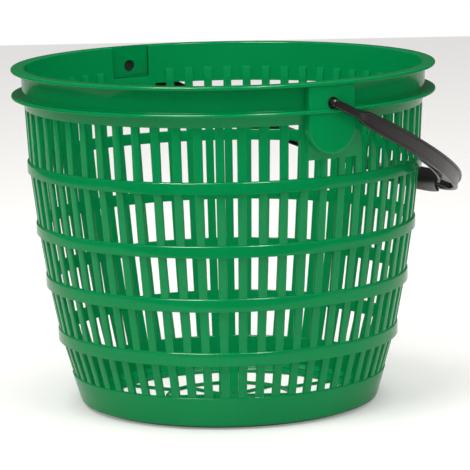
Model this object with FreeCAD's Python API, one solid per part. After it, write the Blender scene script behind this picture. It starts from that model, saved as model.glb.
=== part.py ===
"""Fruit picker basket: a round slotted harvest basket with a swinging bail handle.

Millimetres, +Z up.  The origin is on the basket's axis in the plane that it stands on.
The bail swings about a line parallel to Y, and hangs towards +X.
The basket is one green moulding and the bail is one black moulding.  Each moulding is
written as its own plain features: rings, rows of staves, lugs, arms, ribs, grip and pins.
"""
import FreeCAD, Part
import math
import os
from FreeCAD import Vector

# ---- basket, driving dimensions -------------------------------------------------
HEIGHT = 250.0            # base plane to the top of the rim
RIM_R = 155.0             # outer radius of both flanges
FLANGE_T = 2.5            # thickness of both flanges
WALL_T = 2.3              # wall thickness
NECK_TOP_R = 147.7        # neck, outer radius under the rim
NECK_LOW_R = 147.0        # neck, outer radius at the lower flange
LOWER_FLANGE_TOP_Z = 230.9
SHOULDER_LOW_Z = 220.5    # where the first row of slots starts
SHOULDER_LOW_R = 145.5
HOOP_PROUD = 1.5          # how far the middle of a hoop stands out of the staves
HOOP_TOP_EDGE_R = 1.3     # rounding of a hoop's upper outer edge
HOOP_LOW_EDGE_R = 0.4     # and of its lower one
# (bottom, top, wall radius at mid height) of each hoop, from the rim down
HOOPS = [
    (174.0, 182.3, 143.2),
    (128.5, 137.0, 137.9),
    (89.2, 98.6, 131.9),
    (49.0, 58.6, 124.0),
]
BAND_TOP_Z = 24.2         # top of the solid band round the foot
BAND_TOP_R = 116.2
FOOT_FLAT_R = 102.5       # the flat that it stands on ends here
FOOT_TURN_R = 109.8       # the foot's rounded edge meets the band at this radius
FOOT_TURN_Z = 2.8         # and this height
FOOT_FLAT_EDGE_R = 6.0    # roundings of the foot's two turns
FOOT_TURN_EDGE_R = 3.0
FOOT_INNER_R = 101.0      # the floor meets the band's wall here
BAND_WALL_TOP_R = 115.2   # stave outer radius where the lowest row meets the band
STAVES = 60
STAVE_W = 6.2
STAVE_T = 2.6
STAVE_PHASE_DEG = -0.8    # the staves are not quite centred on the pivot line

# ---- floor ----------------------------------------------------------------------
FLOOR_T = 2.4
FLOOR_OPEN_R = 88.0       # the floor is open inside this radius, but for what follows
MID_RING_R = 45.0         # inner radius of the ring half way in
MID_RING_W = 2.4
HUB_R = 12.0
FLOOR_BAR_W = 15.5        # the wide bar across the middle of the floor
FLOOR_BAR_DEG = 60.5
SPOKE_W = 2.4
OUTER_SPOKES = 6          # counted with the two that the bar takes the place of
INNER_SPOKES = 8

# ---- lugs -----------------------------------------------------------------------
LUG_FACE_R = 153.8
LUG_HALF_W = 18.5
LUG_ROUND_Z = 217.7       # centre of the lug's round lower end
RECESS_FACE_R = 146.8     # inside the basket a shallow recess is let in behind each lug
RECESS_HALF_W = 15.5
RECESS_LOW_Z = 226.0
PIVOT_Z = 235.0
PIN_R = 4.0
PIN_CLEARANCE = 0.08      # radial clearance of the pin in its hole
PLATE_LOW_Z = 194.8       # the solid plate round each lug closes the slots down to here
PLATE_SLOTS = 3           # how many slots it shortens

# ---- bail -----------------------------------------------------------------------
BAIL_A = 159.5            # half width over the arms at the pivots
BAIL_B = 205.5            # pivot line to the outer face of the grip
TIP_R = 100.0             # radius of the arch over the grip
HANG_DEG = 26.4           # how far below level the bail hangs
STRAP_T = 3.2
WEB_T = 2.4
WEB_END_L = 58.0          # web and inner rib stop this far along from the grip's middle
CROSS_RIB_T = 2.0         # cross ribs carry the grip on the strap, over a hollow
CROSS_RIB_HALF_W = 3.4
CROSS_RIB_PITCH = 18.0
CROSS_RIBS = 5
CROSS_RIB_GAP = 0.1       # they stop this short of the crowned grip
INNER_INSET = 13.8        # outer face to the inner rib
INNER_T = 2.2
INNER_HALF_W = 4.2
RIM_CLEARANCE = 2.0       # inner rib to the flanges as the bail swings past
GRIP_HALF_L = 42.0
GRIP_R = 10.6             # crowning radius of the finger grip's inner face
GRIP_INSET = 6.4          # outer face of the strap to the crown's centre line
GRIP_EDGE_INSET = 11.4    # outer face of the strap to the grip's two long edges
GRIP_WALL = 2.0
END_R = 2.9               # round end of an arm, which necks down into its pin
PIN_FACE_INSET = 0.8      # the pin's journal starts this far below the lug's face
PIN_END_A = 146.9         # distance of a pin's tip from the basket's axis
PIN_TIP_CHAMFER = 0.8

SIDE_R = (2 * BAIL_B * TIP_R - BAIL_A ** 2 - BAIL_B ** 2) / (2 * TIP_R - 2 * BAIL_A)
RING_OVERLAP = 20.0       # how far cutting tools run past a surface
Z_AXIS = Vector(0, 0, 1)
Y_AXIS = Vector(0, 1, 0)
CENTRE = Vector(0, 0, 0)


def save(name, shape):
    """Write one node, as clean solids."""
    solids = shape.Solids
    out = solids[0] if len(solids) == 1 else Part.makeCompound(solids)
    out.exportStep("parts/" + name + ".step")
    print(f"{name:24s} {len(solids):3d} solid(s) {out.Volume / 1000:9.2f} cm3 valid {out.isValid()}")


def revolve(points):
    """A ring whose section is the closed polygon of (radius, z) points."""
    wire = Part.makePolygon([Vector(r, 0, z) for r, z in points + points[:1]])
    return Part.Face(wire).revolve(CENTRE, Z_AXIS, 360)


def rounded_section(points, radii):
    """A face in the XZ plane with the given corner radii (0 leaves a corner sharp)."""
    edges = []
    count = len(points)
    starts, ends = [], []
    for i in range(count):
        corner = Vector(points[i][0], 0, points[i][1])
        before = Vector(points[i - 1][0], 0, points[i - 1][1]) - corner
        after = Vector(points[(i + 1) % count][0], 0, points[(i + 1) % count][1]) - corner
        if radii[i] <= 0:
            starts.append(corner)
            ends.append(corner)
            continue
        before.normalize()
        after.normalize()
        half = 0.5 * before.getAngle(after)
        back = radii[i] / math.tan(half)
        bisector = before + after
        bisector.normalize()
        middle = corner + bisector * (radii[i] / math.sin(half) - radii[i])
        first = corner + before * back
        last = corner + after * back
        starts.append(first)
        ends.append(last)
        edges.append((i, Part.Arc(first, middle, last).toShape()))
    arcs = dict(edges)
    loop = []
    for i in range(count):
        if i in arcs:
            loop.append(arcs[i])
        nxt = (i + 1) % count
        if (starts[nxt] - ends[i]).Length > 1e-6:
            loop.append(Part.LineSegment(ends[i], starts[nxt]).toShape())
    return Part.Face(Part.Wire(Part.__sortEdges__(loop)))


def ring(points, radii):
    return rounded_section(points, radii).revolve(CENTRE, Z_AXIS, 360)


def wall_stations():
    """(z, outer radius) of the stave wall at each hoop's middle, shoulder and band."""
    stations = [(SHOULDER_LOW_Z, SHOULDER_LOW_R)]
    stations += [(0.5 * (low + top), radius) for low, top, radius in HOOPS]
    stations.append((BAND_TOP_Z, BAND_WALL_TOP_R))
    return stations


def wall_radius(z):
    stations = wall_stations()
    for (z_hi, r_hi), (z_lo, r_lo) in zip(stations, stations[1:]):
        if z >= z_lo - 1e-6:
            return r_lo + (r_hi - r_lo) * (z - z_lo) / (z_hi - z_lo)
    return stations[-1][1]


# ---- basket rings ---------------------------------------------------------------
def rim_flange():
    inner = NECK_TOP_R - WALL_T
    top, low = HEIGHT, HEIGHT - FLANGE_T
    flange = ring([(inner, low), (RIM_R, low), (RIM_R, top), (inner, top)], [0, 0.8, 0.9, 0.9])
    back = recess()
    back.rotate(CENTRE, Z_AXIS, 180)
    return flange.cut([recess(), back])


def neck_band():
    top, low = HEIGHT - FLANGE_T, LOWER_FLANGE_TOP_Z
    return revolve([(NECK_TOP_R - WALL_T, top), (NECK_TOP_R, top), (NECK_LOW_R, low),
                    (NECK_LOW_R - WALL_T, low)])


def lower_flange():
    inner = NECK_LOW_R - WALL_T
    top, low = LOWER_FLANGE_TOP_Z, LOWER_FLANGE_TOP_Z - FLANGE_T
    return ring([(inner, low), (RIM_R, low), (RIM_R, top), (inner, top)], [0, 0.8, 0.9, 0])


def shoulder_band():
    top = LOWER_FLANGE_TOP_Z - FLANGE_T
    return revolve([(NECK_LOW_R - WALL_T, top), (NECK_LOW_R, top),
                    (SHOULDER_LOW_R, SHOULDER_LOW_Z), (SHOULDER_LOW_R - STAVE_T, SHOULDER_LOW_Z)])


def hoop(index):
    """A hoop with an upright outer face."""
    low, top, middle = HOOPS[index]
    outer = middle + HOOP_PROUD
    section = [(wall_radius(low) - STAVE_T, low), (outer, low), (outer, top),
               (wall_radius(top) - STAVE_T, top)]
    return ring(section, [0, HOOP_LOW_EDGE_R, HOOP_TOP_EDGE_R, 0])


def foot_band():
    """The solid band round the foot."""
    outer = [(FOOT_INNER_R, 0), (FOOT_FLAT_R, 0), (FOOT_TURN_R, FOOT_TURN_Z),
             (BAND_TOP_R, BAND_TOP_Z)]
    inner = [(BAND_WALL_TOP_R - STAVE_T, BAND_TOP_Z),
             (FOOT_TURN_R - STAVE_T, FOOT_TURN_Z + 0.5 * FLOOR_T),
             (FOOT_FLAT_R, FLOOR_T), (FOOT_INNER_R, FLOOR_T)]
    radii = [0, FOOT_FLAT_EDGE_R, FOOT_TURN_EDGE_R, 0.8, 0, 1.0, 1.0, 0]
    return ring(outer + inner, radii)


# ---- staves ---------------------------------------------------------------------
def row_limits():
    """(bottom, top) of each row of slots, from the rim down."""
    tops = [SHOULDER_LOW_Z] + [low for low, _, _ in HOOPS]
    bottoms = [top for _, top, _ in HOOPS] + [BAND_TOP_Z]
    return list(zip(bottoms, tops))


def stave(low, top, azimuth_deg):
    """One flat-sided bar of the wall, drawn towards +X and turned into place."""
    half = 0.5 * STAVE_W
    r_low, r_top = wall_radius(low), wall_radius(top)
    outline = [Vector(r_low - STAVE_T, -half, low), Vector(r_low, -half, low),
               Vector(r_top, -half, top), Vector(r_top - STAVE_T, -half, top)]
    face = Part.Face(Part.makePolygon(outline + outline[:1]))
    bar = face.extrude(Vector(0, STAVE_W, 0))
    bar.rotate(CENTRE, Z_AXIS, azimuth_deg)
    return bar


def plate_edges():
    """Azimuths of the two staves that bound the plate round the lug at -Y."""
    pitch = 360.0 / STAVES
    first = round((-90.0 - STAVE_PHASE_DEG) / pitch) * pitch + STAVE_PHASE_DEG
    return first - pitch, first + (PLATE_SLOTS - 1) * pitch


def inside_plate(azimuth_deg, margin=0.01):
    low, high = plate_edges()
    for turn in (0.0, 180.0):
        offset = (azimuth_deg - turn + 180.0) % 360.0 - 180.0
        if low + margin < offset < high - margin:
            return True
    return False


def stave_row(index):
    low, top = row_limits()[index]
    bars = []
    for i in range(STAVES):
        azimuth = STAVE_PHASE_DEG + i * 360.0 / STAVES
        azimuth = (azimuth + 180.0) % 360.0 - 180.0
        bar_top = PLATE_LOW_Z if index == 0 and inside_plate(azimuth) else top
        bars.append(stave(low, bar_top, azimuth))
    return Part.makeCompound(bars)


# ---- lugs -----------------------------------------------------------------------
def u_prism(half_w, round_z, top_z, near, far):
    """A bar along -Y whose front view is a plate with a round lower end."""
    left, right = Vector(-half_w, -near, round_z), Vector(half_w, -near, round_z)
    bottom = Vector(0, -near, round_z - half_w)
    high_right, high_left = Vector(half_w, -near, top_z), Vector(-half_w, -near, top_z)
    wire = Part.Wire([Part.Arc(left, bottom, right).toShape(),
                      Part.LineSegment(right, high_right).toShape(),
                      Part.LineSegment(high_right, high_left).toShape(),
                      Part.LineSegment(high_left, left).toShape()])
    return Part.Face(wire).extrude(Vector(0, near - far, 0))


def lug_envelope():
    """Everything that belongs to the lug at -Y: boss and plate, out to the lug's face."""
    top = HEIGHT - FLANGE_T
    boss = u_prism(LUG_HALF_W, LUG_ROUND_Z, top, NECK_TOP_R - RING_OVERLAP, LUG_FACE_R + 1)
    face = Part.makeCylinder(LUG_FACE_R, HEIGHT)
    return boss.common(face)


def wall_sector(low, top, start_deg, end_deg):
    """A piece of the stave wall between two azimuths, with no slots."""
    r_low, r_top = wall_radius(low), wall_radius(top)
    section = [Vector(r_low - STAVE_T, 0, low), Vector(r_low, 0, low), Vector(r_top, 0, top),
               Vector(r_top - STAVE_T, 0, top)]
    face = Part.Face(Part.makePolygon(section + section[:1]))
    face.rotate(CENTRE, Z_AXIS, start_deg)
    return face.revolve(CENTRE, Z_AXIS, end_deg - start_deg)


def inner_cone():
    """Everything inside the wall's inner surface, from the plate up to the rim."""
    points = [(0, PLATE_LOW_Z), (wall_radius(PLATE_LOW_Z) - STAVE_T, PLATE_LOW_Z),
              (SHOULDER_LOW_R - STAVE_T, SHOULDER_LOW_Z),
              (NECK_LOW_R - WALL_T, LOWER_FLANGE_TOP_Z - FLANGE_T),
              (NECK_LOW_R - WALL_T, LOWER_FLANGE_TOP_Z),
              (NECK_TOP_R - WALL_T, HEIGHT - FLANGE_T), (0, HEIGHT - FLANGE_T)]
    return revolve(points)


def recess():
    """The shallow recess behind the lug at -Y, open at the rim's top."""
    block = Part.makeBox(2 * RECESS_HALF_W, RING_OVERLAP, HEIGHT - RECESS_LOW_Z + 1,
                         Vector(-RECESS_HALF_W, -RECESS_FACE_R, RECESS_LOW_Z))
    return block.common(Part.makeCylinder(RECESS_FACE_R, HEIGHT + 1))


def lug():
    """The lug at -Y: a boss with a pivot hole, on a solid plate in the slotted wall."""
    low_az, high_az = plate_edges()
    half_stave = math.degrees(0.5 * STAVE_W / SHOULDER_LOW_R)
    plate = wall_sector(PLATE_LOW_Z, SHOULDER_LOW_Z, low_az + half_stave, high_az - half_stave)
    boss = lug_envelope().cut(inner_cone())
    hole = Part.makeCylinder(PIN_R + PIN_CLEARANCE, 2 * RING_OVERLAP,
                             Vector(0, -NECK_TOP_R + RING_OVERLAP, PIVOT_Z), Vector(0, -1, 0))
    low, top = row_limits()[0]
    staves = [stave(low, top, azimuth) for azimuth in (low_az, high_az)]
    return boss.fuse(plate).cut([recess(), hole] + staves).removeSplitter()


def without_lugs(band):
    """Cut both lugs' places out of a ring."""
    front = lug_envelope()
    back = front.copy()
    back.rotate(CENTRE, Z_AXIS, 180)
    return band.cut(front).cut(back)


# ---- floor ----------------------------------------------------------------------
def flat_ring(inner, outer):
    return revolve([(inner, 0), (outer, 0), (outer, FLOOR_T), (inner, FLOOR_T)])


def floor_bar():
    """The wide bar across the middle, with the round hub that the inner spokes run to."""
    box = Part.makeBox(2 * FLOOR_OPEN_R, FLOOR_BAR_W, FLOOR_T,
                       Vector(-FLOOR_OPEN_R, -0.5 * FLOOR_BAR_W, 0))
    bar = box.common(Part.makeCylinder(FLOOR_OPEN_R, FLOOR_T))
    bar = bar.fuse(Part.makeCylinder(HUB_R, FLOOR_T)).removeSplitter()
    bar.rotate(CENTRE, Z_AXIS, FLOOR_BAR_DEG)
    return bar


def spokes(count, inner, outer):
    """Straight spokes between two radii, leaving out the two in line with the bar."""
    span = flat_ring(inner, outer)
    out = []
    for i in range(count):
        if i % (count // 2) == 0:
            continue
        spoke = Part.makeBox(outer, SPOKE_W, FLOOR_T, Vector(0, -0.5 * SPOKE_W, 0)).common(span)
        spoke.rotate(CENTRE, Z_AXIS, FLOOR_BAR_DEG + i * 360.0 / count)
        out.append(spoke)
    return out


def floor_spokes():
    bars = spokes(INNER_SPOKES, HUB_R, MID_RING_R)
    bars += spokes(OUTER_SPOKES, MID_RING_R + MID_RING_W, FLOOR_OPEN_R)
    return Part.makeCompound([bar.cut(floor_bar()) for bar in bars])


# ---- bail -----------------------------------------------------------------------
# It is drawn level, in its own plane: X runs out from the pivot line to the grip, Y along
# the pivot line, Z across the plane.  hang() then drops it to where it rests.
SIDE_SPAN = math.atan2(BAIL_B - TIP_R, SIDE_R - BAIL_A)   # angle of one side arc


def arch_wire(inset):
    """The three-centred arch, offset inwards, as (side, tip, side) edges from -Y to +Y."""
    side = SIDE_R - inset
    tip = TIP_R - inset
    centre_y = SIDE_R - BAIL_A

    def on_side(sign, angle):
        return Vector(side * math.sin(angle), sign * (side * math.cos(angle) - centre_y), 0)

    apex = Vector(BAIL_B - TIP_R + tip, 0, 0)
    edges = []
    for sign in (-1, 1):
        foot = on_side(sign, 0.0)
        middle = on_side(sign, 0.5 * SIDE_SPAN)
        joint = on_side(sign, SIDE_SPAN)
        edges.append(Part.Arc(foot, middle, joint).toShape())
    edges.insert(1, Part.Arc(on_side(-1, SIDE_SPAN), apex, on_side(1, SIDE_SPAN)).toShape())
    return edges


def arch_band(outer_inset, inner_inset, half_width):
    """The flat band between two offsets of the arch, thick across its plane."""
    outer = arch_wire(outer_inset)
    inner = arch_wire(inner_inset)
    ends = []
    for sign in (-1, 1):
        ends.append(Part.LineSegment(Vector(0, sign * (BAIL_A - outer_inset), 0),
                                     Vector(0, sign * (BAIL_A - inner_inset), 0)).toShape())
    wire = Part.Wire(Part.__sortEdges__(outer + inner + ends))
    face = Part.Face(wire)
    face.translate(Vector(0, 0, -half_width))
    return face.extrude(Vector(0, 0, 2 * half_width))


def side_profile(stations):
    """A prism along Y whose outline, seen along Y, has the given (x, half width)."""
    upper = [Vector(x, -BAIL_A - 5, half) for x, half in stations]
    lower = [Vector(x, -BAIL_A - 5, -half) for x, half in reversed(stations)]
    outline = upper + lower
    face = Part.Face(Part.makePolygon(outline + outline[:1]))
    return face.extrude(Vector(0, 2 * BAIL_A + 10, 0))


def hang(shape):
    """Drop a level shape to the hanging position and lift it to the pivot's height."""
    out = shape.copy()
    out.rotate(CENTRE, Y_AXIS, HANG_DEG)
    out.translate(Vector(0, 0, PIVOT_Z))
    return out


def grip_sector(half_length):
    """A wedge, from the arch's tip centre, that holds that much of the arch each way."""
    half = half_length / TIP_R
    reach = 2 * BAIL_B
    centre = Vector(BAIL_B - TIP_R, 0, -reach)
    far = [Vector(centre.x + reach * math.cos(a), reach * math.sin(a), -reach)
           for a in (-half, half)]
    face = Part.Face(Part.makePolygon([centre, far[0], far[1], centre]))
    return face.extrude(Vector(0, 0, 2 * reach))


def half_space(sign):
    """Everything on one side of the bail's plane of symmetry."""
    size = 2 * BAIL_B
    low_y = 0 if sign > 0 else -size
    return Part.makeBox(2 * size, size, 2 * size, Vector(-size, low_y, -size))


# (distance from the pivot line, half width across the bail's plane) of the strap
ARM_STATIONS = [(-0.1, END_R), (21.0, END_R), (29.0, 5.2), (50.0, 6.0), (120.0, 6.1),
                (165.0, 6.0), (178.0, 5.2), (190.0, 3.8), (198.0, 3.5), (BAIL_B + 5, 3.5)]


def strap():
    widest = max(half for _, half in ARM_STATIONS)
    return arch_band(0, STRAP_T, widest + 1).common(side_profile(ARM_STATIONS))


def strap_arm(sign):
    """One arm: the strap from the grip to the pivot, with its round end."""
    arm = strap().cut(grip_sector(GRIP_HALF_L)).common(half_space(sign))
    end = Part.makeCylinder(END_R, STRAP_T, Vector(0, sign * (BAIL_A - STRAP_T), 0),
                            Vector(0, sign, 0))
    return arm.fuse(end).removeSplitter()


def clear_of_rim(shape):
    """Keep a rib outside the circle that the flanges sweep as the bail passes them."""
    swept = Part.makeCylinder(RIM_R + RIM_CLEARANCE, 2 * BAIL_B, Vector(0, 0, -BAIL_B))
    return shape.cut(swept)


def arm_web(sign):
    """The thin web inside an arm, which dies out where the arm passes the flanges."""
    web = arch_band(STRAP_T, INNER_INSET, 0.5 * WEB_T)
    return clear_of_rim(web).cut(grip_sector(WEB_END_L)).common(half_space(sign))


def arm_rib(sign):
    """The inner rib along the web's edge."""
    rib = arch_band(INNER_INSET, INNER_INSET + INNER_T, INNER_HALF_W)
    return clear_of_rim(rib).cut(grip_sector(WEB_END_L)).common(half_space(sign))


def crown(radius):
    """A bent tube along the grip, which its crowned inner face is part of."""
    return Part.makeTorus(TIP_R - GRIP_INSET, radius, Vector(BAIL_B - TIP_R, 0, 0), Z_AXIS)


def cross_rib(along):
    """One rib from the strap's inner face to the grip, that far along from the middle."""
    outer = TIP_R - 0.5 * STRAP_T
    length = GRIP_INSET + GRIP_R
    rib = Part.makeBox(length, CROSS_RIB_T, 2 * CROSS_RIB_HALF_W,
                       Vector(outer - length, -0.5 * CROSS_RIB_T, -CROSS_RIB_HALF_W))
    rib.rotate(CENTRE, Z_AXIS, math.degrees(along / TIP_R))
    rib.translate(Vector(BAIL_B - TIP_R, 0, 0))
    return rib.common(crown(GRIP_R - GRIP_WALL - CROSS_RIB_GAP))


def grip_spine():
    """The strap over the grip, with the cross ribs that carry the grip."""
    first = -0.5 * (CROSS_RIBS - 1) * CROSS_RIB_PITCH
    ribs = [cross_rib(first + i * CROSS_RIB_PITCH) for i in range(CROSS_RIBS)]
    return strap().common(grip_sector(GRIP_HALF_L)).fuse(ribs).removeSplitter()


def grip_shell():
    """The wide, crowned finger grip inside the strap."""
    shell = crown(GRIP_R).cut(crown(GRIP_R - GRIP_WALL))
    reach = 2 * GRIP_R
    inside = Part.makeCylinder(TIP_R - GRIP_EDGE_INSET, 2 * reach,
                               Vector(BAIL_B - TIP_R, 0, -reach))
    return shell.common(inside).common(grip_sector(GRIP_HALF_L))


def pivot_pin(sign):
    """A neck and a journal in line, pointing in through the lug."""
    face_a = BAIL_A - STRAP_T
    journal_a = LUG_FACE_R - PIN_FACE_INSET
    chamfer_a = PIN_END_A + PIN_TIP_CHAMFER
    direction = Vector(0, -sign, 0)

    def at(a):
        return Vector(0, sign * a, 0)

    neck = Part.makeCylinder(END_R, face_a - journal_a, at(face_a), direction)
    journal = Part.makeCylinder(PIN_R, journal_a - chamfer_a, at(journal_a), direction)
    tip = Part.makeCone(PIN_R, PIN_R - PIN_TIP_CHAMFER, PIN_TIP_CHAMFER, at(chamfer_a), direction)
    return neck.fuse([journal, tip]).removeSplitter()


def main():
    os.makedirs("parts", exist_ok=True)
    save("rim_flange", rim_flange())
    save("neck_band", without_lugs(neck_band()))
    save("lower_flange", without_lugs(lower_flange()))
    save("shoulder_band", without_lugs(shoulder_band()))
    for i in range(len(HOOPS)):
        save(f"hoop_{i + 1}", hoop(i))
    for i in range(len(HOOPS) + 1):
        save(f"stave_row_{i + 1}", stave_row(i))
    save("foot_band", foot_band())
    save("floor_ring", flat_ring(FLOOR_OPEN_R, FOOT_INNER_R))
    save("floor_mid_ring", flat_ring(MID_RING_R, MID_RING_R + MID_RING_W).cut(floor_bar()))
    save("floor_bar", floor_bar())
    save("floor_spokes", floor_spokes())
    front = lug()
    back = front.copy()
    back.rotate(CENTRE, Z_AXIS, 180)
    save("lug_front", front)
    save("lug_back", back)
    for side, sign in (("front", -1), ("back", 1)):
        save(f"bail_arm_{side}", hang(strap_arm(sign)))
        save(f"bail_web_{side}", hang(arm_web(sign)))
        save(f"bail_rib_{side}", hang(arm_rib(sign)))
        save(f"pivot_pin_{side}", hang(pivot_pin(sign)))
    save("grip_spine", hang(grip_spine()))
    save("grip_shell", hang(grip_shell()))


main()
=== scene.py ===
import math

import bpy
import bmesh
from mathutils import Matrix, Vector


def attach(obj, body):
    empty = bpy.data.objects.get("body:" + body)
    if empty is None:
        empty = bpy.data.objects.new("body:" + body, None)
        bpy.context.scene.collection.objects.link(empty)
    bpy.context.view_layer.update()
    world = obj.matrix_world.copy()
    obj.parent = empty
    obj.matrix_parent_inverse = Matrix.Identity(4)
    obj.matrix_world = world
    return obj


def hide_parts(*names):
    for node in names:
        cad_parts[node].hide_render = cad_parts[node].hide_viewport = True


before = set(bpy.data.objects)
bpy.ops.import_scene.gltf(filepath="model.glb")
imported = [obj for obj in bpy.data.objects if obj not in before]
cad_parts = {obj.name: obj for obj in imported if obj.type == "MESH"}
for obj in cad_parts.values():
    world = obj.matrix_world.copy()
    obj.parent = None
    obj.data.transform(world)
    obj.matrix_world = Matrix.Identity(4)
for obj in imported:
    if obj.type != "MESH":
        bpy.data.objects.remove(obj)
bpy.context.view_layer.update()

# Looks for the fruit picker basket.  Lengths below are millimetres, turned to metres where
# a mesh is made.  The frame is the CAD's: origin at the middle of the base, +Z up, the
# bail's pivot line along Y at PIVOT_Z, the bail hanging towards +X.
MM = 0.001
TAU = 2 * math.pi

RIM_R = 155.0
STAVES = 60
STAVE_W = 6.2
STAVE_T = 2.6
STAVE_PHASE = math.radians(-0.8)
SHOULDER_Z, SHOULDER_R = 220.5, 145.5
HOOPS = [(174.0, 182.3, 143.2), (128.5, 137.0, 137.9), (89.2, 98.6, 131.9), (49.0, 58.6, 124.0)]
HOOP_PROUD = 1.5
BAND_TOP_Z, BAND_TOP_R, BAND_WALL_R = 24.2, 116.2, 115.2
PIVOT_Z = 235.0
LUG_FACE_R, LUG_HALF_W, LUG_ROUND_Z, LUG_TOP_Z = 153.8, 18.5, 217.7, 248.2
LUG_BACK_R, LUG_EDGE_R = 145.9, 1.2
PIN_HOLE_R, CUT_IN_R = 4.08, 140.0
FLOOR_T, FLOOR_OPEN_R = 2.4, 88.0
FLOOR_BAR_W, BAR_TURN = 15.5, math.radians(60.5)
MID_RING_IN_R, MID_RING_OUT_R, HUB_R, SPOKE_W = 45.0, 47.4, 12.0, 2.4
FOOT_FLAT_R = 102.5
RECESS_R, RECESS_HALF_W, RECESS_LOW_Z = 146.8, 15.5, 226.0
PLATE_LOW_Z, PLATE_MIDDLES, PLATE_HALF_DEG = 194.8, (-87.8, 92.2), 8.9
BAIL_A, BAIL_B, TIP_R = 159.5, 205.5, 100.0
SIDE_R = (2 * BAIL_B * TIP_R - BAIL_A ** 2 - BAIL_B ** 2) / (2 * TIP_R - 2 * BAIL_A)
SIDE_SPAN = math.atan2(BAIL_B - TIP_R, SIDE_R - BAIL_A)
TIP_HALF_LEN = TIP_R * (math.pi / 2 - SIDE_SPAN)
BAIL_HALF_LEN = TIP_HALF_LEN + SIDE_R * SIDE_SPAN
HANG = math.radians(26.4)
STRAP_T = 3.2
WEB_END, GRIP_HALF_LEN, CROSS_RIB_PITCH = 58.0, 42.0, 18.0


# ------------------------------------------------------------------ materials
def node(tree, kind, **values):
    n = tree.nodes.new(kind)
    for key, value in values.items():
        if key in n.inputs:
            n.inputs[key].default_value = value
        else:
            setattr(n, key, value)
    return n


def plastic(name, dark, light, rough_lo, rough_hi, specular, grain, bump, flow, wear):
    """Moulded plastic: slow colour drift, fine surface grain, flow marks, uneven gloss."""
    m = bpy.data.materials.new(name)
    m.use_nodes = True
    t = m.node_tree
    t.nodes.clear()
    out = node(t, "ShaderNodeOutputMaterial")
    bsdf = node(t, "ShaderNodeBsdfPrincipled")
    t.links.new(bsdf.outputs["BSDF"], out.inputs["Surface"])
    bsdf.inputs["Specular IOR Level"].default_value = specular
    bsdf.inputs["IOR"].default_value = 1.5
    where = node(t, "ShaderNodeTexCoord")
    # slow drift of the colour
    drift = node(t, "ShaderNodeTexNoise", Scale=flow, Detail=3.0, Roughness=0.55)
    t.links.new(where.outputs["Object"], drift.inputs["Vector"])
    ramp = node(t, "ShaderNodeValToRGB")
    ramp.color_ramp.elements[0].position = 0.32
    ramp.color_ramp.elements[0].color = (*dark, 1)
    ramp.color_ramp.elements[1].position = 0.68
    ramp.color_ramp.elements[1].color = (*light, 1)
    t.links.new(drift.outputs["Fac"], ramp.inputs["Fac"])
    # paler, scuffed edges
    geo = node(t, "ShaderNodeNewGeometry")
    edge = node(t, "ShaderNodeMapRange")
    edge.inputs["From Min"].default_value = 0.505
    edge.inputs["From Max"].default_value = 0.60
    t.links.new(geo.outputs["Pointiness"], edge.inputs["Value"])
    scuff = node(t, "ShaderNodeTexNoise", Scale=140.0, Detail=4.0, Roughness=0.7)
    t.links.new(where.outputs["Object"], scuff.inputs["Vector"])
    gate = node(t, "ShaderNodeMath", operation="MULTIPLY")
    t.links.new(edge.outputs["Result"], gate.inputs[0])
    t.links.new(scuff.outputs["Fac"], gate.inputs[1])
    worn = node(t, "ShaderNodeMix", data_type="RGBA")
    t.links.new(gate.outputs["Value"], worn.inputs["Factor"])
    t.links.new(ramp.outputs["Color"], worn.inputs[6])
    worn.inputs[7].default_value = (light[0] + wear, light[1] + 2 * wear, light[2] + 2 * wear, 1)
    t.links.new(worn.outputs[2], bsdf.inputs["Base Color"])
    # uneven gloss
    gloss = node(t, "ShaderNodeTexNoise", Scale=34.0, Detail=5.0, Roughness=0.6)
    t.links.new(where.outputs["Object"], gloss.inputs["Vector"])
    rough = node(t, "ShaderNodeMapRange")
    rough.inputs["From Min"].default_value = 0.3
    rough.inputs["From Max"].default_value = 0.7
    rough.inputs["To Min"].default_value = rough_lo
    rough.inputs["To Max"].default_value = rough_hi
    t.links.new(gloss.outputs["Fac"], rough.inputs["Value"])
    t.links.new(rough.outputs["Result"], bsdf.inputs["Roughness"])
    # fine grain over shallow sink marks
    fine = node(t, "ShaderNodeTexNoise", Scale=grain, Detail=2.0, Roughness=0.5)
    t.links.new(where.outputs["Object"], fine.inputs["Vector"])
    broad = node(t, "ShaderNodeTexNoise", Scale=55.0, Detail=1.0, Roughness=0.4)
    t.links.new(where.outputs["Object"], broad.inputs["Vector"])
    bump_a = node(t, "ShaderNodeBump", Strength=bump, Distance=0.0002)
    bump_b = node(t, "ShaderNodeBump", Strength=0.4 * bump, Distance=0.0005)
    t.links.new(fine.outputs["Fac"], bump_a.inputs["Height"])
    t.links.new(broad.outputs["Fac"], bump_b.inputs["Height"])
    t.links.new(bump_a.outputs["Normal"], bump_b.inputs["Normal"])
    t.links.new(bump_b.outputs["Normal"], bsdf.inputs["Normal"])
    return m


GREEN = plastic("green_plastic", (0.0002, 0.236, 0.062), (0.0006, 0.264, 0.073), 0.07, 0.13, 0.20,
                1400.0, 0.05, 9.0, 0.004)
BLACK = plastic("black_plastic", (0.0085, 0.0075, 0.0070), (0.0150, 0.0118, 0.0108), 0.26, 0.38,
                0.50, 2200.0, 0.22, 18.0, 0.006)


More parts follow.
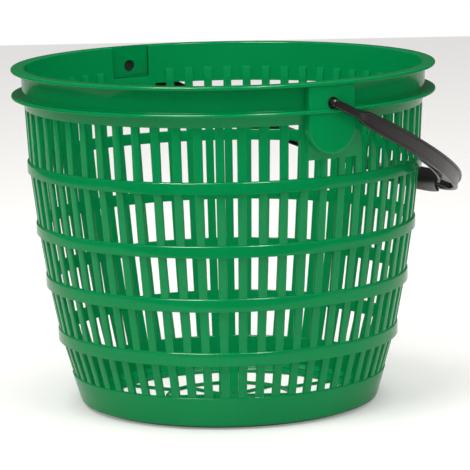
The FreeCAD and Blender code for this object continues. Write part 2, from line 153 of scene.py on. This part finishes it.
# ------------------------------------------------------------------ mesh helpers
def piece(name, verts, faces, material, body, slot, replaces=(), sharp=32.0):
    me = bpy.data.meshes.new(name)
    me.from_pydata([tuple(c * MM for c in v) for v in verts], [], faces)
    bm = bmesh.new()
    bm.from_mesh(me)
    bmesh.ops.recalc_face_normals(bm, faces=bm.faces)
    bm.to_mesh(me)
    bm.free()
    me.materials.append(material)
    me.polygons.foreach_set("use_smooth", [True] * len(me.polygons))
    me.set_sharp_from_angle(angle=math.radians(sharp))
    ob = bpy.data.objects.new(name, me)
    bpy.context.scene.collection.objects.link(ob)
    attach(ob, body)
    if replaces:
        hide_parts(*replaces)
    return ob


def rounded(points, steps=5):
    """Round each (x, y, radius) corner of a closed outline."""
    out = []
    count = len(points)
    for i, (x, y, radius) in enumerate(points):
        corner = Vector((x, y))
        if radius <= 0:
            out.append(corner)
            continue
        before = (Vector(points[i - 1][:2]) - corner).normalized()
        after = (Vector(points[(i + 1) % count][:2]) - corner).normalized()
        half = 0.5 * before.angle(after)
        back = radius / math.tan(half)
        centre = corner + (before + after).normalized() * (radius / math.sin(half))
        start = corner + before * back - centre
        turn = start.angle_signed(corner + after * back - centre)
        for k in range(steps + 1):
            a = -turn * k / steps
            c, s = math.cos(a), math.sin(a)
            out.append(centre + Vector((c * start.x - s * start.y, s * start.x + c * start.y)))
    return out


def lathe(outline, segments=360):
    count = len(outline)
    verts, faces = [], []
    for i in range(segments):
        c, s = math.cos(TAU * i / segments), math.sin(TAU * i / segments)
        verts += [(r * c, r * s, z) for r, z in outline]
    for i in range(segments):
        a, b = i * count, ((i + 1) % segments) * count
        faces += [(a + j, b + j, b + (j + 1) % count, a + (j + 1) % count) for j in range(count)]
    return verts, faces


def loft(loops, closed=False):
    """Skin a list of equal loops, with end caps unless it closes on itself."""
    count = len(loops[0])
    verts = [p for loop in loops for p in loop]
    faces = []
    last = len(loops) if closed else len(loops) - 1
    for i in range(last):
        a, b = i * count, ((i + 1) % len(loops)) * count
        faces += [(a + j, b + j, b + (j + 1) % count, a + (j + 1) % count) for j in range(count)]
    if not closed:
        faces.append(tuple(range(count)))
        faces.append(tuple(reversed(range(len(verts) - count, len(verts)))))
    return verts, faces


def merged(parts):
    verts, faces = [], []
    for part_verts, part_faces in parts:
        base = len(verts)
        verts += part_verts
        faces += [tuple(base + k for k in f) for f in part_faces]
    return verts, faces


def spun(verts, angle):
    c, s = math.cos(angle), math.sin(angle)
    return [(c * x - s * y, s * x + c * y, z) for x, y, z in verts]


def wall_radius(z):
    stations = [(SHOULDER_Z, SHOULDER_R)]
    stations += [(0.5 * (low + top), r) for low, top, r in HOOPS]
    stations.append((BAND_TOP_Z, BAND_WALL_R))
    for (z_hi, r_hi), (z_lo, r_lo) in zip(stations, stations[1:]):
        if z >= z_lo:
            return r_lo + (r_hi - r_lo) * (z - z_lo) / (z_hi - z_lo)
    return BAND_WALL_R


# ------------------------------------------------------------------ basket
def cut_with(ob, verts, faces):
    """Boolean cut, applied at once."""
    me = bpy.data.meshes.new("cutter")
    me.from_pydata([tuple(c * MM for c in v) for v in verts], [], faces)
    bm = bmesh.new()
    bm.from_mesh(me)
    bmesh.ops.recalc_face_normals(bm, faces=bm.faces)
    bm.to_mesh(me)
    bm.free()
    tool = bpy.data.objects.new("cutter", me)
    bpy.context.scene.collection.objects.link(tool)
    mod = ob.modifiers.new("cut", "BOOLEAN")
    mod.operation = "DIFFERENCE"
    mod.solver = "MANIFOLD"
    mod.object = tool
    bpy.context.view_layer.update()
    dg = bpy.context.evaluated_depsgraph_get()
    done = bpy.data.meshes.new_from_object(ob.evaluated_get(dg))
    ob.modifiers.clear()
    old = ob.data
    ob.data = done
    done.name = ob.name
    bpy.data.meshes.remove(old)
    bpy.data.objects.remove(tool)
    bpy.data.meshes.remove(me)
    done.set_sharp_from_angle(angle=math.radians(32))


def u_outline(half_w, round_z, top_z, count=72):
    """Points (x, z) of a U plate, at even angles round the pivot hole."""
    points = []
    for k in range(count):
        a = TAU * k / count
        dx, dz = math.cos(a), math.sin(a)
        reach = 1e9
        if dz > 1e-9:
            reach = min(reach, (top_z - PIVOT_Z) / dz)
        if abs(dx) > 1e-9:
            side = half_w / abs(dx)
            if PIVOT_Z + dz * side >= round_z:
                reach = min(reach, side)
        if reach > 1e8 or PIVOT_Z + dz * reach < round_z:
            oz = PIVOT_Z - round_z
            b = dz * oz
            reach = -b + math.sqrt(b * b - (oz * oz - half_w * half_w))
        points.append((dx * reach, PIVOT_Z + dz * reach))
    return points


def bulge(points, radius, sign):
    """Lay flat (x, z) points onto the cylinder of that radius, on the side sign."""
    return [(x, sign * math.sqrt(radius * radius - x * x), z) for x, z in points]


def circle(radius, count=72):
    return [(radius * math.cos(TAU * k / count), PIVOT_Z + radius * math.sin(TAU * k / count))
            for k in range(count)]


def lug(sign):
    """Boss with rounded rim and pivot hole, its back sunk into the wall."""
    outer = u_outline(LUG_HALF_W, LUG_ROUND_Z, LUG_TOP_Z)
    back = []
    for x, z in outer:
        r = min(LUG_BACK_R, wall_radius(z) - 0.8) if z < RECESS_LOW_Z else LUG_BACK_R
        back.append((x, sign * math.sqrt(r * r - x * x), z))
    loops = [back, bulge(outer, LUG_FACE_R - LUG_EDGE_R, sign)]
    for k in range(1, 6):
        a = 0.5 * math.pi * k / 5
        inset = LUG_EDGE_R * (1 - math.cos(a))
        ring = u_outline(LUG_HALF_W - inset, LUG_ROUND_Z, LUG_TOP_Z)
        loops.append(bulge(ring, LUG_FACE_R - LUG_EDGE_R + LUG_EDGE_R * math.sin(a), sign))
    inner = u_outline(LUG_HALF_W - 3.0, LUG_ROUND_Z, LUG_TOP_Z - 2)
    loops.append(bulge(inner, LUG_FACE_R, sign))
    for wider, depth in ((2.0, 0.0), (0.5, 0.0), (0.15, 0.15), (0.0, 0.5)):
        loops.append(bulge(circle(PIN_HOLE_R + wider), LUG_FACE_R - depth, sign))
    loops.append(bulge(circle(PIN_HOLE_R), LUG_BACK_R, sign))
    return loft(loops, closed=True)


def cut_lug_back(ob, sign):
    """The shallow recess inside the basket, open at the rim's top, and the pivot hole's edge."""
    h, low, top = RECESS_HALF_W, RECESS_LOW_Z, 252.0
    outline = rounded([(-h, low, 1.5), (h, low, 1.5), (h, top, 0), (-h, top, 0)], 4)
    dense = []
    for i, p in enumerate(outline):
        q = outline[(i + 1) % len(outline)]
        steps = max(1, int((q - p).length / 1.5))
        dense += [tuple(p + (q - p) * k / steps) for k in range(steps)]
    loops = [[(x, sign * 138.0, z) for x, z in dense], bulge(dense, RECESS_R, sign)]
    cut_with(ob, *loft(loops))
    for radius, depth_r in ((4.55, 147.3), (PIN_HOLE_R, 150.0)):
        ring = circle(radius)
        start = [(x, sign * CUT_IN_R, z) for x, z in ring]
        cut_with(ob, *loft([start, bulge(ring, depth_r, sign)]))


def rim_piece():
    outline = rounded([(143.3, SHOULDER_Z, 0.4), (SHOULDER_R, SHOULDER_Z, 0.35),
                       (147.0, 228.4, 0.5), (RIM_R, 228.4, 0.7), (RIM_R, 230.9, 1.1),
                       (147.0, 230.9, 0.6), (147.7, 247.5, 0.6), (RIM_R, 247.5, 0.7),
                       (RIM_R, 250.0, 1.2), (145.4, 250.0, 0.8), (144.7, 228.4, 0)])
    verts, faces = lathe(outline)
    ob = piece("rim_and_neck", verts, faces, GREEN, "basket", "green_plastic",
               ("rim_flange", "neck_band", "lower_flange", "shoulder_band"))
    for sign in (-1, 1):
        cut_lug_back(ob, sign)
    return ob


def stave_bars(row, low, top):
    """Bars with softened outer corners, run a little way into the hoops they join."""
    h, soft = 0.5 * STAVE_W, 0.75
    low, top = low - 0.6, top + 0.6
    bars = []
    for i in range(STAVES):
        angle = STAVE_PHASE + TAU * i / STAVES
        degrees = (math.degrees(angle) + 180) % 360 - 180
        bar_top = top
        if row == 0 and any(abs(degrees - m) < PLATE_HALF_DEG for m in PLATE_MIDDLES):
            bar_top = PLATE_LOW_Z + 0.6
        loops = []
        for z in (low, bar_top):
            r = wall_radius(z)
            section = rounded([(r - STAVE_T, -h, 0.5), (r, -h, soft), (r, h, soft),
                               (r - STAVE_T, h, 0.5)], steps=3)
            loops.append([(x, y, z) for x, y in section])
        verts, faces = loft(loops)
        bars.append((spun(verts, angle), faces))
    return merged(bars)


def inner_ribs():
    """The staves run on up the inside of the neck as low ribs with a stepped, sloping top."""
    h = 0.5 * STAVE_W
    bars = []
    for i in range(STAVES):
        angle = STAVE_PHASE + TAU * i / STAVES
        degrees = (math.degrees(angle) + 180) % 360 - 180
        if abs(abs(degrees) - 90) < 9.5:
            continue
        side = [(145.2, 219.8), (142.9, 219.8), (143.0, 224.6), (143.5, 226.0), (143.6, 229.0),
                (145.2, 232.4)]
        loops = [[(r, y, z) for r, z in side] for y in (-h, h)]
        verts, faces = loft(loops)
        bars.append((spun(verts, angle), faces))
    return merged(bars)


def plate(turn):
    """The solid stretch of wall round a lug, with the stub ends of the shortened slots."""
    half = math.degrees(0.5 * STAVE_W / SHOULDER_R)
    a0, a1 = math.radians(-96.8 + half - 0.4 + turn), math.radians(-78.8 - half + 0.4 + turn)
    loops = []
    for k in range(25):
        a = a0 + (a1 - a0) * k / 24
        r0, r1 = wall_radius(PLATE_LOW_Z), wall_radius(SHOULDER_Z)
        section = rounded([(r0 - STAVE_T, PLATE_LOW_Z, 0.4), (r0, PLATE_LOW_Z, 0.5),
                           (r1, SHOULDER_Z + 0.5, 0), (r1 - STAVE_T, SHOULDER_Z + 0.5, 0)], 3)
        loops.append([(r * math.cos(a), r * math.sin(a), z) for r, z in section])
    return loft(loops)


def lug_piece(name, sign, turn):
    verts, faces = lug(sign)
    ob = piece(name, verts, faces, GREEN, "basket", "green_plastic", (name,))
    cut_lug_back(ob, sign)
    verts, faces = plate(turn)
    piece(name + "_plate", verts, faces, GREEN, "basket", "green_plastic")


def flat_ring(inner, outer):
    return lathe([(inner, 0.05), (outer, 0.05), (outer, 2.1), (outer - 0.3, 2.35),
                  (inner + 0.3, 2.35), (inner, 2.1)])


def flat_bar(x0, x1, width, angle, low, top):
    """A straight bar with softened upper edges, along the direction angle."""
    h = 0.5 * width
    section = rounded([(-h, low, 0), (h, low, 0), (h, top, 0.5), (-h, top, 0.5)], 2)
    verts, faces = loft([[(x, y, z) for y, z in section] for x in (x0, x1)])
    return spun(verts, angle), faces


def build_floor():
    """Rings, spokes and the wide bar across the middle, each end sunk into its neighbour."""
    ring = flat_ring(MID_RING_IN_R, MID_RING_OUT_R)
    piece("floor_mid_ring", *ring, GREEN, "basket", "green_plastic", ("floor_mid_ring",))
    hub = lathe([(1.0, 0.05), (HUB_R, 0.05), (HUB_R, 2.0), (HUB_R - 0.3, 2.3), (1.0, 2.3)], 96)
    end = FLOOR_OPEN_R + 0.5
    verts, faces = merged([flat_bar(-end, end, FLOOR_BAR_W, BAR_TURN, 0.0, FLOOR_T), hub])
    piece("floor_bar", verts, faces, GREEN, "basket", "green_plastic", ("floor_bar",))
    bars = []
    for count, inner, outer in ((8, HUB_R - 1.0, MID_RING_IN_R + 0.5),
                                (6, MID_RING_OUT_R - 0.5, end)):
        for i in range(count):
            if i % (count // 2):
                turn = BAR_TURN + TAU * i / count
                bars.append(flat_bar(inner, outer, SPOKE_W, turn, 0.1, 2.25))
    verts, faces = merged(bars)
    piece("floor_spokes", verts, faces, GREEN, "basket", "green_plastic", ("floor_spokes",))


def build_basket():
    rim_piece()
    rows = list(zip([top for _, top, _ in HOOPS] + [BAND_TOP_Z],
                    [SHOULDER_Z] + [low for low, _, _ in HOOPS]))
    for i, (low, top) in enumerate(rows):
        verts, faces = stave_bars(i, low, top)
        piece(f"stave_row_{i + 1}", verts, faces, GREEN, "basket", "green_plastic",
              (f"stave_row_{i + 1}",))
    verts, faces = inner_ribs()
    piece("inner_ribs", verts, faces, GREEN, "basket", "green_plastic")
    for i, (low, top, middle) in enumerate(HOOPS):
        outer = middle + HOOP_PROUD
        outline = rounded([(wall_radius(low) - STAVE_T, low, 0.4), (outer, low, 0.4),
                           (outer, top, 1.3), (wall_radius(top) - STAVE_T, top, 0.5)], 6)
        verts, faces = lathe(outline)
        piece(f"hoop_{i + 1}", verts, faces, GREEN, "basket", "green_plastic",
              (f"hoop_{i + 1}",))
    band = rounded([(FLOOR_OPEN_R, 0, 0), (FOOT_FLAT_R, 0, 6.0), (109.8, 2.8, 3.0),
                    (BAND_TOP_R, BAND_TOP_Z, 0.8), (BAND_WALL_R - STAVE_T, BAND_TOP_Z, 0.5),
                    (107.2, 4.0, 1.5), (FOOT_FLAT_R, FLOOR_T, 1.0),
                    (FLOOR_OPEN_R, FLOOR_T, 0.5)], 6)
    verts, faces = lathe(band)
    piece("foot_band", verts, faces, GREEN, "basket", "green_plastic",
          ("foot_band", "floor_ring"))
    lug_piece("lug_front", -1, 0)
    lug_piece("lug_back", 1, 180)
    build_floor()


# ------------------------------------------------------------------ bail
def arch(s):
    """Point and inward normal on the outer face, s along it from the middle of the grip."""
    side = -1 if s < 0 else 1
    d = abs(s)
    if d <= TIP_HALF_LEN:
        a = d / TIP_R
        point = (BAIL_B - TIP_R + TIP_R * math.cos(a), side * TIP_R * math.sin(a))
        return Vector(point), Vector((-math.cos(a), -side * math.sin(a)))
    a = SIDE_SPAN - (d - TIP_HALF_LEN) / SIDE_R
    point = (SIDE_R * math.sin(a), side * (SIDE_R * math.cos(a) - (SIDE_R - BAIL_A)))
    return Vector(point), Vector((-math.sin(a), -side * math.cos(a)))


def hung(x, y, z):
    """Drop a point of the level bail to where it hangs."""
    c, s = math.cos(HANG), math.sin(HANG)
    return (c * x + s * z, y, -s * x + c * z + PIVOT_Z)


def lerp_table(table, x):
    for (x0, y0), (x1, y1) in zip(table, table[1:]):
        if x <= x1:
            t = max(0.0, (x - x0) / (x1 - x0))
            t = t * t * (3 - 2 * t)
            return y0 + (y1 - y0) * t
    return table[-1][1]


def swept(stations, section):
    """Sweep section(s) -> [(inset, offset), ...] along the arch."""
    loops = []
    for s in stations:
        p, n = arch(s)
        loops.append([hung(p.x + n.x * u, p.y + n.y * u, v) for u, v in section(s)])
    return loft(loops)


def strap_half(s):
    """Half width of the strap: narrow at the pins, widest along the arms, slim at the grip."""
    x = arch(s)[0].x
    return lerp_table([(0, 2.9), (21, 2.9), (29, 5.2), (50, 6.0), (120, 6.1), (165, 6.0),
                       (178, 5.2), (190, 3.8), (198, 3.5), (210, 3.5)], x)


def strap_section(s):
    hw = strap_half(s)
    bead = min(1.7, 0.36 * hw)
    deep = 1.15 * min(1.0, max(0.0, (hw - 3.0) / 1.5))
    half = [(deep, 0), (deep, hw - bead - 0.45), (0.12 * deep, hw - bead - 0.05),
            (0.0, hw - 0.75), (0.12, hw - 0.32), (0.45, hw - 0.06), (0.9, hw),
            (STRAP_T - 0.7, hw), (STRAP_T - 0.2, hw - 0.18), (STRAP_T, hw - 0.7), (STRAP_T, 0)]
    return half + [(u, -v) for u, v in reversed(half[1:-1])]


def spread(lo, hi, step):
    count = max(2, int(math.ceil((hi - lo) / step)))
    return [lo + (hi - lo) * k / count for k in range(count + 1)]


def rim_clear_inset(s, radius):
    """How far in from the outer face a rib may reach and still pass the flanges."""
    p, n = arch(s)
    b = p.dot(n)
    c = p.length_squared - radius * radius
    disc = b * b - c
    return 99.0 if disc < 0 else -b - math.sqrt(disc)


def rib_reach(s):
    return min(16.0, rim_clear_inset(s, 157.1))


def web_section(s):
    inner = max(STRAP_T - 0.4, rib_reach(s) - 1.0)
    return [(STRAP_T - 0.6, -1.2), (inner, -1.2), (inner, 1.2), (STRAP_T - 0.6, 1.2)]


def rib_section(s):
    inner = rib_reach(s)
    outer = inner - 2.2
    hw = 4.2
    return rounded([(outer, -hw, 0.6), (inner, -hw, 0.9), (inner, hw, 0.9), (outer, hw, 0.6)], 4)


def cross_rib_section(s):
    return [(STRAP_T - 0.4, -3.3), (14.4, -3.3), (15.2, -1.6), (15.2, 1.6), (14.4, 3.3),
            (STRAP_T - 0.4, 3.3)]


def grip_section(s):
    """A crowned plate, its long edges curling towards the strap."""
    centre, outer_r, inner_r, half = 6.4, 10.6, 8.6, math.radians(57)
    points = []
    for k in range(17):
        a = -half + 2 * half * k / 16
        points.append((centre + outer_r * math.cos(a), outer_r * math.sin(a)))
    for k in range(5):
        a = math.pi * k / 4
        mid = 0.5 * (outer_r + inner_r)
        r = mid + math.cos(a) * 1.0
        b = half + math.sin(a) * 0.09
        if 0 < k < 4:
            points.append((centre + r * math.cos(b), r * math.sin(b)))
    for k in range(17):
        a = half - 2 * half * k / 16
        points.append((centre + inner_r * math.cos(a), inner_r * math.sin(a)))
    for k in range(1, 4):
        a = math.pi * k / 4
        r = 0.5 * (outer_r + inner_r) - math.cos(a) * 1.0
        b = half + math.sin(a) * 0.09
        points.append((centre + r * math.cos(b), -r * math.sin(b)))
    return points


def pin(sign):
    """Neck and journal, turned about the pivot line, its end level with the recess."""
    outline = [(0.0, 158.2), (2.0, 158.2), (2.7, 157.6), (2.9, 156.6), (2.9, 153.3), (3.1, 153.0),
               (3.7, 153.0), (4.0, 152.7), (4.0, 147.4), (3.9, 147.1), (3.6, 146.95),
               (0.9, 146.9), (0.0, 146.9)]
    loops = []
    for k in range(40):
        a = TAU * k / 40
        loops.append([(r * math.cos(a), sign * y, PIVOT_Z + r * math.sin(a))
                      for r, y in outline])
    return loft(loops, closed=True)


def build_bail():
    full = spread(-BAIL_HALF_LEN, BAIL_HALF_LEN, 2.5)
    verts, faces = swept(full, strap_section)
    piece("bail_strap", verts, faces, BLACK, "bail", "black_plastic",
          ("bail_arm_front", "bail_arm_back", "grip_spine"), sharp=40)
    reach = next(s for s in spread(150, BAIL_HALF_LEN, 1.0) if rib_reach(s) < STRAP_T + 0.2)
    sides = (("front", -reach, -WEB_END), ("back", WEB_END, reach))
    webs = [swept(spread(lo, hi, 2.5), web_section) for _, lo, hi in sides]
    verts, faces = merged(webs)
    piece("bail_web", verts, faces, BLACK, "bail", "black_plastic",
          ("bail_web_front", "bail_web_back"))
    for name, lo, hi in sides:
        verts, faces = swept(spread(lo, hi, 2.5), rib_section)
        piece(f"bail_rib_{name}", verts, faces, BLACK, "bail", "black_plastic",
              (f"bail_rib_{name}",))
    ribs = [swept((CROSS_RIB_PITCH * k - 1.0, CROSS_RIB_PITCH * k + 1.0), cross_rib_section)
            for k in range(-2, 3)]
    verts, faces = merged(ribs)
    piece("grip_cross_ribs", verts, faces, BLACK, "bail", "black_plastic")
    verts, faces = swept(spread(-GRIP_HALF_LEN, GRIP_HALF_LEN, 2.0), grip_section)
    piece("grip_shell", verts, faces, BLACK, "bail", "black_plastic", ("grip_shell",))
    for name, sign in (("front", -1), ("back", 1)):
        verts, faces = pin(sign)
        piece(f"pivot_pin_{name}", verts, faces, BLACK, "bail", "black_plastic",
              (f"pivot_pin_{name}",))


# ------------------------------------------------------------------ stage, lights, camera
VIEW_TURN = math.radians(-29.5)   # the camera's side of the basket
FLOOR_LIFT = 0.25                 # light added to the table for the camera's rays, all over


def build_stage():
    """A plain pale table top, one colour all over, lifted a little for the camera's own rays."""
    m = bpy.data.materials.new("studio_floor")
    m.use_nodes = True
    t = m.node_tree
    t.nodes.clear()
    out = node(t, "ShaderNodeOutputMaterial")
    top = node(t, "ShaderNodeBsdfDiffuse", Color=(0.80, 0.79, 0.77, 1))
    glow = node(t, "ShaderNodeEmission", Color=(1, 1, 1, 1), Strength=FLOOR_LIFT)
    lifted = node(t, "ShaderNodeAddShader")
    t.links.new(top.outputs[0], lifted.inputs[0])
    t.links.new(glow.outputs[0], lifted.inputs[1])
    path = node(t, "ShaderNodeLightPath")
    pick = node(t, "ShaderNodeMixShader")
    t.links.new(path.outputs["Is Camera Ray"], pick.inputs[0])
    t.links.new(top.outputs[0], pick.inputs[1])
    t.links.new(lifted.outputs[0], pick.inputs[2])
    t.links.new(pick.outputs[0], out.inputs["Surface"])
    me = bpy.data.meshes.new("floor")
    side, near, far = 1.11, -0.55, 2.6
    me.from_pydata([(-side, near, 0), (side, near, 0), (side, far, 0), (-side, far, 0)], [],
                   [(0, 1, 2, 3)])
    me.materials.append(m)
    floor = bpy.data.objects.new("floor", me)
    bpy.context.scene.collection.objects.link(floor)
    floor.location.z = -0.0002
    floor.rotation_euler.z = VIEW_TURN


def build_world():
    """White to the camera, even soft light on the object, a dark room in its reflections."""
    world = bpy.data.worlds.new("studio")
    bpy.context.scene.world = world
    world.use_nodes = True
    t = world.node_tree
    t.nodes.clear()
    out = node(t, "ShaderNodeOutputWorld")
    seen = node(t, "ShaderNodeBackground", Color=(1, 1, 1, 1), Strength=1.0)
    soft = node(t, "ShaderNodeBackground", Color=(1, 0.995, 0.985, 1), Strength=0.50)
    room = node(t, "ShaderNodeBackground", Color=(1, 0.98, 0.96, 1), Strength=0.05)
    path = node(t, "ShaderNodeLightPath")
    lit = node(t, "ShaderNodeMixShader")
    t.links.new(path.outputs["Is Glossy Ray"], lit.inputs[0])
    t.links.new(soft.outputs[0], lit.inputs[1])
    t.links.new(room.outputs[0], lit.inputs[2])
    pick = node(t, "ShaderNodeMixShader")
    t.links.new(path.outputs["Is Camera Ray"], pick.inputs[0])
    t.links.new(lit.outputs[0], pick.inputs[1])
    t.links.new(seen.outputs[0], pick.inputs[2])
    t.links.new(pick.outputs[0], out.inputs["Surface"])


def area(name, azimuth, elevation, distance, size, power):
    """A soft box at that bearing from the camera's own, aimed at the basket."""
    data = bpy.data.lights.new(name, "AREA")
    data.shape = "RECTANGLE"
    data.size, data.size_y = size
    data.energy = power
    ob = bpy.data.objects.new(name, data)
    bpy.context.scene.collection.objects.link(ob)
    a, e = VIEW_TURN + math.radians(azimuth), math.radians(elevation)
    back = Vector((math.sin(a) * math.cos(e), -math.cos(a) * math.cos(e), math.sin(e)))
    ob.location = Vector((0, 0, 0.12)) + back * distance
    ob.rotation_euler = back.to_track_quat("Z", "Y").to_euler()
    return ob


def build_lights():
    for name, azimuth, elevation, distance, size, power in (
            ("key", -39, 48, 2.2, (1.2, 0.9), 17.0), ("fill", 33, 48, 2.4, (0.9, 0.9), 8.0),
            ("top", 10, 84, 1.9, (1.4, 1.4), 19.0), ("front", 0, 12, 3.0, (2.2, 1.2), 5.0)):
        area(name, azimuth, elevation, distance, size, power).visible_glossy = False
    for name, azimuth, elevation, distance, size, power in (
            ("key_sheen", -39, 64, 2.2, (0.8, 0.9), 110.0),
            ("fill_sheen", 33, 64, 2.4, (0.40, 0.9), 60.0)):
        area(name, azimuth, elevation, distance, size, power).visible_diffuse = False


def build_camera():
    distance, height, turn = 2.2882, 0.49965, VIEW_TURN
    yaw, pitch, roll, focal_px = 0.00299, 0.16372, 0.01959, 3144.05
    cy, sy, cp, sp = math.cos(yaw), math.sin(yaw), math.cos(pitch), math.sin(pitch)
    cr, sr = math.cos(roll), math.sin(roll)
    turn_yaw = Matrix(((cy, -sy, 0), (sy, cy, 0), (0, 0, 1)))
    turn_pitch = Matrix(((1, 0, 0), (0, cp, -sp), (0, sp, cp)))
    turn_roll = Matrix(((cr, 0, -sr), (0, 1, 0), (sr, 0, cr)))
    rows = turn_roll @ turn_pitch @ turn_yaw
    to_row = Matrix.Rotation(turn, 3, "Z")
    right, ahead, up = (to_row @ Vector(rows[k]) for k in range(3))
    basis = Matrix((right, up, -ahead)).transposed().to_4x4()
    basis.translation = to_row @ Vector((0, -distance, 0)) + Vector((0, 0, height))
    data = bpy.data.cameras.new("camera")
    data.sensor_width = 36.0
    data.lens = focal_px / 470 * 36.0
    data.clip_end = 60
    data.shift_x = -0.5 / 470
    data.shift_y = 0.5 / 470
    camera = bpy.data.objects.new("camera", data)
    camera.matrix_world = basis
    bpy.context.scene.collection.objects.link(camera)
    bpy.context.scene.camera = camera


build_basket()
build_bail()
build_stage()
build_world()
build_lights()
build_camera()
bpy.context.scene.view_settings.view_transform = "Standard"

bpy.context.view_layer.update()
